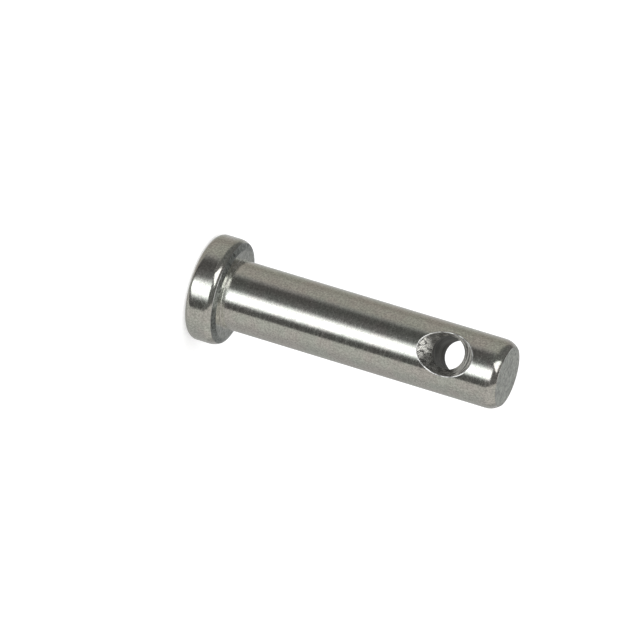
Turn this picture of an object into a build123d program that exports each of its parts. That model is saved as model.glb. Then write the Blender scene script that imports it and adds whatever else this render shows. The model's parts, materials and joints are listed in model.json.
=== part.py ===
from build123d import *
from math import radians, tan
import os

# Clevis pin, turned from one bar of stainless steel: a round head with a rounded and bevelled
# rim, a plain shank, and near its rounded tip a cross hole for a split pin or ring.
# The pin stands on its head. The origin is the centre of the head's flat face, +Z runs
# along the shank to the tip, and the cross hole runs along Y. Lengths are in millimetres.

# Head
head_diameter = 9.2
head_height = 2.7
# Rounding of the rim where it meets the head's flat outer face
head_face_rounding = 0.62
# Towards the shank the rim rounds off to an edge, and from there a shallow bevel leads to the
# flat underside. The heights are lengths along the pin, and the shares are how much of the
# head's overhang beyond the shank each of them takes
rim_rounding_height = 0.7
rim_rounding_share = 0.13
head_bevel_height = 0.22
head_bevel_share = 0.34

# Shank, with its length taken from the head's underside to the tip
shank_diameter = 6.0
shank_length = 24.9
# Fillet left by the turning tool in the corner under the head
neck_fillet = 0.1
# Rounding that leads the tip into its bore. It ends at the flat face, where the pin is
# narrower than the shank by this drop all round
tip_rounding_height = 1.05
tip_rounding_drop = 0.43

# Cross hole, drilled through the shank and countersunk on both sides
hole_diameter = 2.8
hole_to_tip = 4.9
# The drill ran a little to one side of the shank's centre line
hole_off_centre = 0.45
countersink_diameter = 4.95
countersink_angle = 90
# The countersinking cutter comes in from this far outside the shank
cutter_run_in = 0.5
# Rounding left by deburring on the lip of each countersink
lip_rounding = 0.08

head_radius = head_diameter / 2
shank_radius = shank_diameter / 2
head_overhang = head_radius - shank_radius
edge_radius = head_radius - rim_rounding_share * head_overhang
edge_height = head_height - head_bevel_height
seat_radius = edge_radius - head_bevel_share * head_overhang
tip_height = head_height + shank_length
tip_face_radius = shank_radius - tip_rounding_drop
hole_height = tip_height - hole_to_tip
# The cutter is as wide as the countersink where it crosses the shank's surface
cutter_start = shank_radius + cutter_run_in
cutter_radius = countersink_diameter / 2 + cutter_run_in * tan(radians(countersink_angle / 2))

with BuildPart() as clevis_pin:
    # Half of the pin's section, from the middle of the head's face round to the tip
    with BuildSketch(Plane.XZ):
        with BuildLine():
            FilletPolyline(
                (0, 0),
                (head_radius, 0),
                (head_radius, edge_height - rim_rounding_height),
                radius=head_face_rounding,
            )
            TangentArc(
                (head_radius, edge_height - rim_rounding_height),
                (edge_radius, edge_height),
                tangent=(0, 1),
            )
            FilletPolyline(
                (edge_radius, edge_height),
                (seat_radius, head_height),
                (shank_radius, head_height),
                (shank_radius, tip_height - tip_rounding_height),
                radius=[0, neck_fillet],
            )
            TangentArc(
                (shank_radius, tip_height - tip_rounding_height),
                (tip_face_radius, tip_height),
                tangent=(0, 1),
            )
            Polyline((tip_face_radius, tip_height), (0, tip_height), (0, 0))
        make_face()
    revolve(axis=Axis.Z)

    # The cross hole is cut from the front and from the back, and the cuts meet in the middle
    hole_centre = (-hole_off_centre, 0, hole_height)
    front = Plane(hole_centre, x_dir=(1, 0, 0), z_dir=(0, -1, 0)).offset(cutter_start)
    back = Plane(hole_centre, x_dir=(1, 0, 0), z_dir=(0, 1, 0)).offset(cutter_start)
    with Locations(front, back):
        CounterSinkHole(
            radius=hole_diameter / 2,
            counter_sink_radius=cutter_radius,
            counter_sink_angle=countersink_angle,
            depth=cutter_start,
        )

    # The countersinks are the two cones nearest the tip, and each lip is the wide edge of one
    countersinks = clevis_pin.faces().filter_by(GeomType.CONE).sort_by(Axis.Z)[-2:]
    lips = [cone.edges().sort_by(SortBy.LENGTH)[-1] for cone in countersinks]
    fillet(lips, radius=lip_rounding)

clevis_pin.part.label = "clevis_pin"

os.makedirs("parts", exist_ok=True)
export_step(clevis_pin.part, "parts/clevis_pin.step")
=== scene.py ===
import json
import math

import bmesh
import bpy
from mathutils import Matrix, Vector


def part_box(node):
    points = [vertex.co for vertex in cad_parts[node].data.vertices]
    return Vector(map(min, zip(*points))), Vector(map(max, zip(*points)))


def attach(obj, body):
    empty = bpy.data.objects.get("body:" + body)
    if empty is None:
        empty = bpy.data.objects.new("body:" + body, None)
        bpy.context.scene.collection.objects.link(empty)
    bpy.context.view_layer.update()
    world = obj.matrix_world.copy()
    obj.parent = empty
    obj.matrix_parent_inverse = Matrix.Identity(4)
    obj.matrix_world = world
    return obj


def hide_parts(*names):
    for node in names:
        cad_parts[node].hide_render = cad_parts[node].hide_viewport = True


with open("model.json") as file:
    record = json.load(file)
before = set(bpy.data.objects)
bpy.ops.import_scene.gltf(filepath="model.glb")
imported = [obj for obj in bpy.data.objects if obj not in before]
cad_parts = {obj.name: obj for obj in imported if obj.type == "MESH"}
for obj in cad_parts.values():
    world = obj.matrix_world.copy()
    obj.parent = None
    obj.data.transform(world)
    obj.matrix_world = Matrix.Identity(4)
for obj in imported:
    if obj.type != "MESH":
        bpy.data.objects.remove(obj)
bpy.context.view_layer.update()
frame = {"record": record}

# The turned blank
# A clevis pin is turned in one piece from a bar of stainless steel: a round head with a
# rounded and bevelled rim, a plain shank and a rounded tip. It stands on the head's face.

MM = 0.001


def mount(name):
    """One of the part's own mounts, with its place and sizes."""
    return next(found for found in frame["record"]["mounts"] if found["name"] == name)


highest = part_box("clevis_pin")[1]
pin_length = highest.z
head_radius = highest.x
shank_radius = mount("shank")["dims"]["r_mm"] * MM
head_height = 2.7 * MM
head_face_rounding = 0.62 * MM
rim_rounding_height = 0.7 * MM
rim_rounding_drop = 0.208 * MM
head_bevel_height = 0.22 * MM
head_bevel_width = 0.544 * MM
edge_rounding = 0.08 * MM
neck_fillet = 0.1 * MM
tip_rounding_height = 1.05 * MM
tip_rounding_drop = 0.43 * MM
tip_edge_rounding = 0.05 * MM
shank_facets = 144
rounding_steps = 10
same_point = 0.0001 * MM


def arc_radius(height, drop):
    """The radius of an arc that starts along the pin and loses drop of its width over height."""
    return (height ** 2 + drop ** 2) / (2 * drop)


def rounded_off(side, start, height, radius):
    """Points of such an arc, which leaves a wall of radius side at the height start."""
    turns = [math.asin(height / radius) * step / rounding_steps
             for step in range(rounding_steps + 1)]
    return [(side - radius * (1 - math.cos(turn)), start + radius * math.sin(turn))
            for turn in turns]


def turned(section, roundings, facets):
    """A round solid from its half section of (radius, height) corners, some of them rounded."""
    form = bmesh.new()
    reaches = []
    corners = [form.verts.new((radius, 0, height)) for radius, height in section]
    for start, end in zip(corners, corners[1:]):
        form.edges.new((start, end))
    for place, radius in roundings.items():
        # An arc of this radius meets both sides of the corner at the same distance from it
        before = corners[place].co - corners[place - 1].co
        after = corners[place + 1].co - corners[place].co
        reach = radius * math.tan(before.angle(after) / 2)
        reaches.append((corners[place], reach))
    for corner, reach in reaches:
        bmesh.ops.bevel(form, geom=[corner], offset=reach, offset_type="OFFSET",
                        affect="VERTICES", segments=rounding_steps, profile=0.5, material=-1)
    bmesh.ops.spin(form, geom=form.verts[:] + form.edges[:], cent=(0, 0, 0), axis=(0, 0, 1),
                   angle=2 * math.pi, steps=facets, use_merge=True)
    bmesh.ops.remove_doubles(form, verts=form.verts[:], dist=same_point)
    bmesh.ops.recalc_face_normals(form, faces=form.faces[:])
    return form


def as_object(name, form):
    mesh = bpy.data.meshes.new(name)
    form.to_mesh(mesh)
    form.free()
    made = bpy.data.objects.new(name, mesh)
    bpy.context.scene.collection.objects.link(made)
    return made


edge_height = head_height - head_bevel_height
rim_start = edge_height - rim_rounding_height
tip_start = pin_length - tip_rounding_height
seat_radius = head_radius - rim_rounding_drop - head_bevel_width
rim_radius = arc_radius(rim_rounding_height, rim_rounding_drop)
tip_radius = arc_radius(tip_rounding_height, tip_rounding_drop)

# Half of the section, from the middle of the head's face round to the middle of the tip
section = [(0, 0), (head_radius, 0)]
face_place = len(section) - 1
section += rounded_off(head_radius, rim_start, rim_rounding_height, rim_radius)
edge_place = len(section) - 1
section += [(seat_radius, head_height), (shank_radius, head_height)]
neck_place = len(section) - 1
section += rounded_off(shank_radius, tip_start, tip_rounding_height, tip_radius)
tip_edge_place = len(section) - 1
section.append((0, pin_length))
blank_form = turned(
    section=section,
    roundings={
        face_place: head_face_rounding,
        edge_place: edge_rounding,
        neck_place: neck_fillet,
        tip_edge_place: tip_edge_rounding,
    },
    facets=shank_facets,
)

# The cross hole
# It is drilled through the shank near the tip, countersunk from both sides by a tool that
# chattered, and its lips are rubbed smooth. A split pin or a ring goes through it.

hole = mount("cotter_hole")
hole_centre = Vector(hole["pos_m"])
hole_radius = hole["dims"]["r_mm"] * MM
wall_end = hole["dims"]["length_mm"] * MM / 2
# The cutter starts this far outside the shank, and widens at 45 degrees beyond the wall
cutter_run_in = 0.5 * MM
cutter_end = shank_radius + cutter_run_in
cutter_radius = hole_radius + cutter_end - wall_end
hole_facets = 96
lip_rounding = 0.07 * MM
lip_steps = 3
shortest_lip_edge = 0.03 * MM
# The wall and the countersinks face the hole's axis by at least this much
least_facing = 0.3

# Two rings keep the small facets round the hole apart from the long ones of the shank
for ring_height in (hole_centre.z - cutter_radius, hole_centre.z + cutter_radius):
    bmesh.ops.bisect_plane(blank_form, plane_co=(0, 0, ring_height), plane_no=(0, 0, 1),
                           geom=blank_form.verts[:] + blank_form.edges[:] + blank_form.faces[:])
blank = as_object("blank", blank_form)

cutter_form = turned(
    section=[
        (0, -cutter_end),
        (cutter_radius, -cutter_end),
        (hole_radius, -wall_end),
        (hole_radius, wall_end),
        (cutter_radius, cutter_end),
        (0, cutter_end),
    ],
    roundings={},
    facets=hole_facets,
)
across_the_pin = Matrix.Translation(hole_centre) @ Matrix.Rotation(math.pi / 2, 4, "X")
bmesh.ops.transform(cutter_form, verts=cutter_form.verts[:], matrix=across_the_pin)
cutter = as_object("cutter", cutter_form)
cut = blank.modifiers.new("cross_hole", "BOOLEAN")
cut.operation = "DIFFERENCE"
cut.solver = "EXACT"
cut.object = cutter
cut_blank = blank.evaluated_get(bpy.context.evaluated_depsgraph_get())
drilled = bpy.data.meshes.new_from_object(cut_blank)
bpy.data.objects.remove(blank)
bpy.data.objects.remove(cutter)


def to_hole_axis(point):
    """The way from a point straight to the hole's axis, which runs along Y."""
    return Vector((hole_centre.x - point.x, 0, hole_centre.z - point.z))


def in_hole(face):
    """True for the faces of the hole's wall and of its two countersinks."""
    inward = to_hole_axis(face.calc_center_median())
    facing = face.normal.dot(inward.normalized())
    return inward.length < cutter_radius and facing > least_facing


def lip_edges(form):
    """The edges round the two mouths of the hole, between a countersink and the shank."""
    return [edge for edge in form.edges
            if len(edge.link_faces) == 2
            and in_hole(edge.link_faces[0]) != in_hole(edge.link_faces[1])]


form = bmesh.new()
form.from_mesh(drilled)
lip_corners = sorted({corner for edge in lip_edges(form) for corner in edge.verts},
                     key=lambda corner: corner.index)
bmesh.ops.remove_doubles(form, verts=lip_corners, dist=shortest_lip_edge)
lip = bmesh.ops.bevel(form, geom=lip_edges(form), offset=lip_rounding, offset_type="OFFSET",
                      affect="EDGES", segments=lip_steps, profile=0.5, material=-1,
                      clamp_overlap=False)
lip_faces = set(lip["faces"])

# The finishes
# Rim and shank are turned and polished. The ends, the head's underside and its bevel are left
# as cut, the countersinks show chatter and carry painted highlights and painted shade in their
# colour, and the drilled wall is dull. The lips of the hole and the edge of the rim are rubbed
# bright.

TURNED, FACED, BEVELLED, COUNTERSUNK, DRILLED, LIP = range(6)
bevel_normal = Vector((head_bevel_height, 0, head_bevel_width)).normalized()
# How near to a height a face's middle lies, and how close its slope is, to be part of it
near = 0.02 * MM
level = 0.99
upright = 0.001
same_slope = 0.005
for face in form.faces:
    face.smooth = True
    middle = face.calc_center_median()
    at_an_end = middle.z < near or middle.z > pin_length - near
    if face in lip_faces or abs(middle.z - edge_height) < near:
        face.material_index = LIP
    elif in_hole(face):
        face.material_index = DRILLED if abs(middle.y) < wall_end - near else COUNTERSUNK
    elif abs(face.normal.z) > level and at_an_end:
        face.material_index = FACED
    elif face.normal.z > level and abs(middle.z - head_height) < near:
        face.material_index = FACED
    elif middle.z < head_height and abs(face.normal.z - bevel_normal.z) < same_slope:
        face.material_index = BEVELLED

pin = as_object("turned_pin", form)

# Polishing has left the tip's rounding flatter in the small than its arc, so its reflections
# are those of an arc that starts later and is wider
polished_start = pin_length - 0.87 * MM
polished_radius = 2.0 * MM
# From here on the tip's rounding turns into the small one round its face
tip_edge = pin_length - 0.03 * MM


def arc_normal(point, side, start, radius):
    """The normal at a point of an arc that leaves a wall of radius side at the height start."""
    out = Vector((point.x, point.y, 0))
    from_centre = out.length - side + radius
    above_start = Vector((0, 0, max(point.z - start, 0)))
    return (out.normalized() * from_centre + above_start).normalized()


def true_normal(face, point):
    """The normal that the real surface has at a point of a face; None on a small rounding."""
    out = Vector((point.x, point.y, 0)).normalized()
    inward = to_hole_axis(point).normalized()
    if face.material_index == DRILLED:
        return inward
    if face.material_index == COUNTERSUNK:
        return (inward + Vector((0, math.copysign(1, point.y), 0))).normalized()
    if face.material_index == FACED:
        return Vector((0, 0, math.copysign(1, face.normal.z)))
    if face.material_index == BEVELLED:
        return out * bevel_normal.x + Vector((0, 0, bevel_normal.z))
    if face.material_index == TURNED and abs(face.normal.z) < upright:
        return out
    if face.material_index == TURNED and tip_start < face.center.z < tip_edge:
        return arc_normal(point, shank_radius, polished_start, polished_radius)
    if face.material_index == TURNED and rim_start < face.center.z < edge_height:
        return arc_normal(point, head_radius, rim_start, rim_radius)
    return None


# The facets are shaded as the round and flat surfaces that they stand for. A small rounding
# takes the normals of its neighbours at its edges, and Blender's own between them
points = pin.data.vertices
shaded = [(corner, true_normal(face, points[corner].co))
          for face in pin.data.polygons for corner in face.vertices]
beside_rounding = {corner: normal for corner, normal in shaded if normal is not None}
left_to_blender = Vector((0, 0, 0))
pin.data.normals_split_custom_set([
    beside_rounding.get(corner, left_to_blender) if normal is None else normal
    for corner, normal in shaded])


def link(tree, value, socket):
    """Gives a socket either another node's output or a plain number, colour or vector."""
    if isinstance(value, bpy.types.NodeSocket):
        tree.links.new(value, socket)
    else:
        socket.default_value = value


def calc(tree, operation, first, second=0.0):
    node = tree.nodes.new("ShaderNodeMath")
    node.operation = operation
    link(tree, first, node.inputs[0])
    link(tree, second, node.inputs[1])
    return node.outputs[0]


def times(tree, first, second):
    return calc(tree, "MULTIPLY", first, second)


def fade(tree, value, start, end, low=0.0, high=1.0):
    """Goes smoothly from low to high while the value goes from start to end."""
    node = tree.nodes.new("ShaderNodeMapRange")
    node.interpolation_type = "SMOOTHSTEP"
    link(tree, value, node.inputs["Value"])
    node.inputs["From Min"].default_value = start
    node.inputs["From Max"].default_value = end
    node.inputs["To Min"].default_value = low
    node.inputs["To Max"].default_value = high
    return node.outputs["Result"]


def mix(tree, share, first, second, blend="MIX"):
    """Goes from the first colour to the second while the share goes from 0 to 1."""
    node = tree.nodes.new("ShaderNodeMix")
    node.data_type = "RGBA"
    node.blend_type = blend
    link(tree, share, node.inputs[0])
    link(tree, first, node.inputs[6])
    link(tree, second, node.inputs[7])
    return node.outputs[2]


def split(tree, place):
    node = tree.nodes.new("ShaderNodeSeparateXYZ")
    link(tree, place, node.inputs[0])
    return node.outputs


def join(tree, x, y, z):
    node = tree.nodes.new("ShaderNodeCombineXYZ")
    for value, socket in zip((x, y, z), node.inputs):
        link(tree, value, socket)
    return node.outputs[0]


def on_pin(tree, centre=(0, 0, 0)):
    """The place on the pin in millimetres, counted from a centre that is given in metres."""
    node = tree.nodes.new("ShaderNodeMapping")
    node.inputs["Scale"].default_value = (1000, 1000, 1000)
    node.inputs["Location"].default_value = [-1000 * c for c in centre]
    link(tree, tree.nodes.new("ShaderNodeTexCoord").outputs["Object"], node.inputs["Vector"])
    return split(tree, node.outputs[0])


def noise(tree, place, detail=2.0, roughness=0.5):
    node = tree.nodes.new("ShaderNodeTexNoise")
    link(tree, place, node.inputs["Vector"])
    node.inputs["Scale"].default_value = 1.0
    node.inputs["Detail"].default_value = detail
    node.inputs["Roughness"].default_value = roughness
    return node.outputs["Fac"]


def spots(tree, place, per_mm, detail=2.0, roughness=0.5):
    """Uneven spots, this many to a millimetre along each of the three directions."""
    x, y, z = [times(tree, along, rate) for along, rate in zip(place, per_mm)]
    return noise(tree, join(tree, x, y, z), detail, roughness)


def tool_rings(tree, across, along, height, length, width):
    """Marks that a turning tool leaves round an axis.

    across and along are the two distances from the axis, height the distance along it. The
    marks are about length long round the axis and width wide, all in millimetres.
    """
    out = calc(tree, "SQRT", calc(tree, "ADD", times(tree, across, across),
                                  times(tree, along, along)))
    return noise(tree, join(
        tree,
        calc(tree, "DIVIDE", across, length),
        calc(tree, "DIVIDE", along, length),
        calc(tree, "DIVIDE", calc(tree, "ADD", height, out), width),
    ))


def steel(name, metallic=1.0):
    """A finish of the pin's steel, with its shader. Colour and patterns are added after."""
    finish = bpy.data.materials.new(name)
    finish.use_nodes = True
    pin.data.materials.append(finish)
    shader = finish.node_tree.nodes["Principled BSDF"]
    shader.inputs["Metallic"].default_value = metallic
    return finish.node_tree, shader


def tint(tree, shader, colour, pattern, darkest, lightest):
    """Makes the colour a little darker and lighter with the pattern."""
    dark = (*[c * darkest for c in colour], 1)
    light = (*[c * lightest for c in colour], 1)
    tinted = mix(tree, pattern, dark, light)
    link(tree, tinted, shader.inputs["Base Color"])
    return tinted


def bump(tree, shader, *layers):
    """Raises patterns from the surface, one over another; each comes with its depth."""
    normal = None
    for pattern, depth in layers:
        node = tree.nodes.new("ShaderNodeBump")
        node.inputs["Strength"].default_value = 1.0
        node.inputs["Distance"].default_value = depth
        link(tree, pattern, node.inputs["Height"])
        if normal is not None:
            link(tree, normal, node.inputs["Normal"])
        normal = node.outputs[0]
    link(tree, normal, shader.inputs["Normal"])


# Turned and polished, with grain, fine hairs round the pin, and faint stains
tree, shader = steel("turned steel")
x, y, z = on_pin(tree)
hairs = spots(tree, (x, y, z), per_mm=(1.6, 1.6, 9.0), detail=3.0)
grain = spots(tree, (x, y, z), per_mm=(6.0, 6.0, 6.0), detail=3.0, roughness=0.7)
stain = spots(tree, (x, y, z), per_mm=(0.5, 0.5, 0.5))
grained = tint(tree, shader, (0.635, 0.635, 0.605), fade(tree, grain, 0.2, 0.8),
               darkest=0.7, lightest=1.3)
reddish, greenish = (1.0, 0.965, 0.95, 1), (0.97, 1.0, 0.96, 1)
stained = mix(tree, fade(tree, stain, 0.35, 0.65), reddish, greenish)
link(tree, mix(tree, 1.0, grained, stained, "MULTIPLY"), shader.inputs["Base Color"])
# The tool has left coarser rings in the neck under the head
near_neck = times(tree, fade(tree, z, 2.6, 2.68), fade(tree, z, 3.3, 2.8))
neck_rings = tool_rings(tree, x, y, z, length=1.4, width=0.09)
scored = times(tree, near_neck, fade(tree, neck_rings, 0.4, 0.6, 0.04, 0.2))
link(tree, calc(tree, "ADD", fade(tree, hairs, 0.3, 0.7, 0.08, 0.2), scored),
     shader.inputs["Roughness"])
bump(tree, shader, (grain, 0.0015 * MM), (hairs, 0.0012 * MM),
     (times(tree, neck_rings, near_neck), 0.004 * MM))

# Left as faced. The head's two faces are cut more finely than the tip's, and shine more.
# Between these two heights on the pin, in millimetres, the finish goes over to the tip's
head_ends, tip_starts = 3, 5
tree, shader = steel("faced steel")
x, y, z = on_pin(tree)
rings = tool_rings(tree, x, y, 0.0, length=1.2, width=0.12)
grain = spots(tree, (x, y, z), per_mm=(3.5, 3.5, 1.0), detail=4.0, roughness=0.65)
extra_shine = times(tree, fade(tree, z, tip_starts, head_ends), 0.1)
shine = calc(tree, "ADD", fade(tree, grain, 0.25, 0.75), extra_shine)
tint(tree, shader, (0.86, 0.885, 0.83), shine, darkest=0.6, lightest=1.2)
link(tree, fade(tree, z, head_ends, tip_starts, 0.16, 0.42), shader.inputs["Roughness"])
coarseness = fade(tree, z, head_ends, tip_starts, 0.3, 1.0)
bump(tree, shader, (times(tree, rings, coarseness), 0.01 * MM),
     (times(tree, grain, coarseness), 0.03 * MM))

# Bevelled, and left rougher and darker than the rim
tree, shader = steel("bevelled steel")
x, y, z = on_pin(tree)
rings = tool_rings(tree, x, y, 0.0, length=1.2, width=0.1)
grain = spots(tree, (x, y, z), per_mm=(4.0, 4.0, 1.0), detail=3.0, roughness=0.7)
tint(tree, shader, (0.36, 0.38, 0.36), fade(tree, grain, 0.25, 0.75), darkest=0.4, lightest=1.6)
shader.inputs["Roughness"].default_value = 0.28
bump(tree, shader, (rings, 0.01 * MM), (grain, 0.02 * MM))

# Countersunk, with fine tool rings and chatter raised all over it. Its colour holds painted
# light
# and shade: painted highlights in blotches of the chatter on the side of the head, painted light
# in the fine rings on the side of the tip, and painted shade between them.
# u and v are the ways across and along the pin from the hole's middle
tree, shader = steel("countersunk steel", metallic=0.8)
u, depth, v = on_pin(tree, hole_centre)
# Masks for where the colour gets painted highlights (head side) and painted light (tip side)
aside = calc(tree, "ABSOLUTE", calc(tree, "SUBTRACT", u, 0.2))
head_side_painted_highlight = fade(tree, calc(tree, "ADD", v, times(tree, aside, 0.55)), -1.0, -1.8)
tip_side_with_painted_light = fade(tree, calc(tree, "SUBTRACT", v, times(tree, u, 0.4)), 0.0, 0.9)
rings = tool_rings(tree, u, v, 0.0, length=1.5, width=0.12)
chatter = spots(tree, (u, depth, v), per_mm=(4.0, 1.0, 2.4), detail=4.0, roughness=0.6)
# Painted highlights: bright blotches in the chatter pattern on the head's side
painted_highlight_blotches = times(tree, head_side_painted_highlight, fade(tree, chatter, 0.42, 0.55))
# Painted light: the fine rings are lighter on the tip's side
fine_rings_in_painted_light = times(tree, tip_side_with_painted_light, fade(tree, rings, 0.35, 0.65, 0.15, 1.0))
painted_light_and_specks = calc(tree, "MAXIMUM", fine_rings_in_painted_light, fade(tree, chatter, 0.4, 0.65, 0.0, 0.2))
# Near-white where the painted light lies, dark as painted shade everywhere else
tint(tree, shader, (0.51, 0.505, 0.475), calc(tree, "MAXIMUM", painted_highlight_blotches, painted_light_and_specks),
     darkest=0.3, lightest=1.95)
link(tree, fade(tree, tip_side_with_painted_light, 0, 1, 0.25, 0.55), shader.inputs["Roughness"])
bump(tree, shader, (rings, 0.02 * MM), (chatter, 0.1 * MM))

# Drilled, and dull also where it is seen at a low angle
tree, shader = steel("drilled steel", metallic=0.8)
u, depth, v = on_pin(tree, hole_centre)
rings = tool_rings(tree, u, v, depth, length=2.0, width=0.3)
tint(tree, shader, (0.27, 0.27, 0.255), fade(tree, rings, 0.3, 0.7), darkest=0.65, lightest=1.35)
shader.inputs["Roughness"].default_value = 0.45
shader.inputs["Specular Tint"].default_value = (0.4, 0.4, 0.4, 1)
bump(tree, shader, (rings, 0.02 * MM))

# Rubbed. The edge of the head's rim is duller than the lips of the hole
tree, shader = steel("rubbed lip")
x, y, z = on_pin(tree)
rubs = spots(tree, (x, y, z), per_mm=(1.5, 1.5, 1.5))
by_place = fade(tree, z, head_ends, tip_starts, 0.3, 1.0)
brightest = times(tree, fade(tree, rubs, 0.35, 0.55), by_place)
tint(tree, shader, (0.72, 0.72, 0.7), brightest, darkest=0.5, lightest=1.3)
shader.inputs["Roughness"].default_value = 0.28

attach(pin, "root")
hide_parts("clevis_pin")

# The table
# A wide sheet of white paper, on which the pin stands on its head. It glows a little for the
# camera alone, so that it looks as white as the paper behind.

table_radius = 4.0
table_form = bmesh.new()
bmesh.ops.create_circle(table_form, cap_ends=True, segments=64, radius=table_radius)
table = as_object("table", table_form)
paper = bpy.data.materials.new("white paper")
paper.use_nodes = True
tree = paper.node_tree
shader = tree.nodes["Principled BSDF"]
shader.inputs["Base Color"].default_value = (0.8, 0.8, 0.8, 1)
shader.inputs["Roughness"].default_value = 0.9
ray = tree.nodes.new("ShaderNodeLightPath")
link(tree, times(tree, ray.outputs["Is Camera Ray"], 0.5), shader.inputs["Emission Strength"])
shader.inputs["Emission Color"].default_value = (1, 1, 1, 1)
table.data.materials.append(paper)
table.visible_glossy = False

# The studio
# White paper all round for the camera. What the steel mirrors is a tent on a table: a white
# window of light in front, a second one to its left, grey paper at the sides, dark above.

# Azimuths in the studio are counted from the camera's own, to the right
camera_azimuth = 0.93
world = bpy.data.worlds.new("studio")
bpy.context.scene.world = world
world.use_nodes = True
tree = world.node_tree
tree.nodes.clear()

x, y, z = split(tree, tree.nodes.new("ShaderNodeTexCoord").outputs["Generated"])
from_front = calc(tree, "ARCTAN2", x, times(tree, y, -1.0))
azimuth = calc(tree, "SUBTRACT", calc(tree, "DEGREES", from_front), camera_azimuth)
elevation = calc(tree, "DEGREES", calc(tree, "ARCSINE", z))


def band(value, rise, fall, power=1.0):
    """1 between rise and fall, each a pair of angles over which the card's edge softens."""
    share = times(tree, fade(tree, value, *rise), fade(tree, value, *fall, 1.0, 0.0))
    return calc(tree, "POWER", share, power)


def grey(value, warmth=0.0):
    return (value * (1 + warmth), value, value * (1 - 2 * warmth), 1)


def card(below, colour, left, right, bottom, top, power=1.0):
    """Lays a card of light or shade over what is there, by azimuth and elevation."""
    share = times(tree, band(azimuth, left, right, power), band(elevation, bottom, top))
    return mix(tree, share, below, colour)


all_left, all_right, below_level = (-200, -190), (190, 200), (-95, -90)
studio = grey(0.15, 0.01)
# The far side above the table, seen by the edges that turn away
studio = card(studio, grey(0.5), all_left, (-155, -130), (-20, -10), (28, 42))
studio = card(studio, grey(0.5), (130, 155), all_right, (-20, -10), (28, 42))
# Straight behind, a darker place, mirrored by the underside of the head
studio = card(studio, grey(0.24), all_left, (-176, -148), (0, 14), (20, 36))
studio = card(studio, grey(0.24), (148, 176), all_right, (0, 14), (20, 36))
# The table behind, the grey paper on its left with a seam, and the shade in front
studio = card(studio, grey(0.6), all_left, all_right, below_level, (-15, -9))
studio = card(studio, grey(0.4, 0.04), (-168, -128), (-77, -50), below_level, (-9, 3))
studio = card(studio, grey(0.33, 0.05), (-135, -120), (-118, -98), below_level, (-9, 3))
studio = card(studio, grey(0.1, 0.01), (-77, -50), all_right, below_level, (-15, -9))
# The window of light in front and below, with a faint grey strip on its left
studio = card(studio, grey(0.16), (-38, -22), (20, 43), (-75, -65), (3, 7))
studio = card(studio, grey(2.0, -0.01), (-28, 3), (20, 43), (-75, -65), (3, 7), power=3.0)
# The grey paper on the right, with its sharp near edge
studio = card(studio, grey(0.55, 0.02), (53, 57), all_right, below_level, (-15, -9))
studio = card(studio, grey(0.44, 0.01), (75, 120), all_right, below_level, (-15, -9))
# Further up that paper leans towards the front
leaning = calc(tree, "ADD", azimuth, times(tree, calc(tree, "ADD", elevation, 17), 0.3))
beyond_edge = times(tree, fade(tree, leaning, 53, 57), band(elevation, (-15, -9), (60, 70)))
above_table = times(tree, band(azimuth, (0, 20), (120, 150)), beyond_edge)
studio = mix(tree, above_table, studio, grey(0.55, 0.02))
# The second window, with a pointed lower edge
from_point = calc(tree, "ABSOLUTE", calc(tree, "ADD", azimuth, 27))
above_edge = calc(tree, "SUBTRACT", elevation, times(tree, from_point, 1.1))
up_and_down = times(tree, fade(tree, above_edge, -3, 0), fade(tree, elevation, 30, 26))
second_window = times(tree, band(azimuth, (-50, -44), (-6, 0)), up_and_down)
studio = mix(tree, second_window, studio, grey(2.0))
# The lamp overhead, seen by the edges and by the chattered countersink
studio = card(studio, grey(2.0), all_left, all_right, (68, 74), (95, 99))

ray = tree.nodes.new("ShaderNodeLightPath")
seen = calc(tree, "MAXIMUM", ray.outputs["Is Camera Ray"], ray.outputs["Is Transmission Ray"])
light = mix(tree, ray.outputs["Is Glossy Ray"], grey(0.6), studio)
light = mix(tree, seen, light, grey(1.0))
background = tree.nodes.new("ShaderNodeBackground")
link(tree, light, background.inputs["Color"])
link(tree, background.outputs[0], tree.nodes.new("ShaderNodeOutputWorld").inputs["Surface"])


def direction(azimuth, elevation):
    """The way from the pin towards a place at this azimuth from the front, and elevation."""
    a, e = math.radians(azimuth), math.radians(elevation)
    return Vector((math.sin(a) * math.cos(e), -math.cos(a) * math.cos(e), math.sin(e)))


pin_middle = Vector((0, 0, pin_length / 2))

# A soft box on the upper left, which lays the pin's faint shadow on the paper
soft_box_way = direction(-60, 60)
soft_box_distance = 0.5
lamp = bpy.data.lights.new("soft_box", "AREA")
lamp.shape = "SQUARE"
lamp.size = 0.45
lamp.energy = 1.2
soft_box = bpy.data.objects.new("soft_box", lamp)
bpy.context.scene.collection.objects.link(soft_box)
soft_box.location = pin_middle + soft_box_way * soft_box_distance
soft_box.rotation_euler = soft_box_way.to_track_quat("Z", "Y").to_euler()
soft_box.visible_glossy = False

# The camera
# It looks at the standing pin from the front and a little above, 0.6 m away, and is rolled
# onto its side, so that the pin lies across the picture as in the photograph.

camera_elevation, camera_roll = 17.98, 106.88
camera_distance = 0.6
frame_width = 53.44 * MM
aim_right, aim_up = -2.97 * MM, 0.89 * MM
towards_pin = direction(camera_azimuth, camera_elevation).to_track_quat("Z", "Y").to_matrix()
turn = towards_pin @ Matrix.Rotation(math.radians(camera_roll), 3, "Z")
offset = turn @ Vector((aim_right, aim_up, camera_distance))
lens = bpy.data.cameras.new("camera")
lens.sensor_width = 36
lens.lens = lens.sensor_width * camera_distance / frame_width
lens.clip_end = 10
camera = bpy.data.objects.new("camera", lens)
bpy.context.scene.collection.objects.link(camera)
camera.matrix_world = Matrix.Translation(pin_middle + offset) @ turn.to_4x4()
bpy.context.scene.camera = camera
bpy.context.scene.view_settings.view_transform = "Standard"
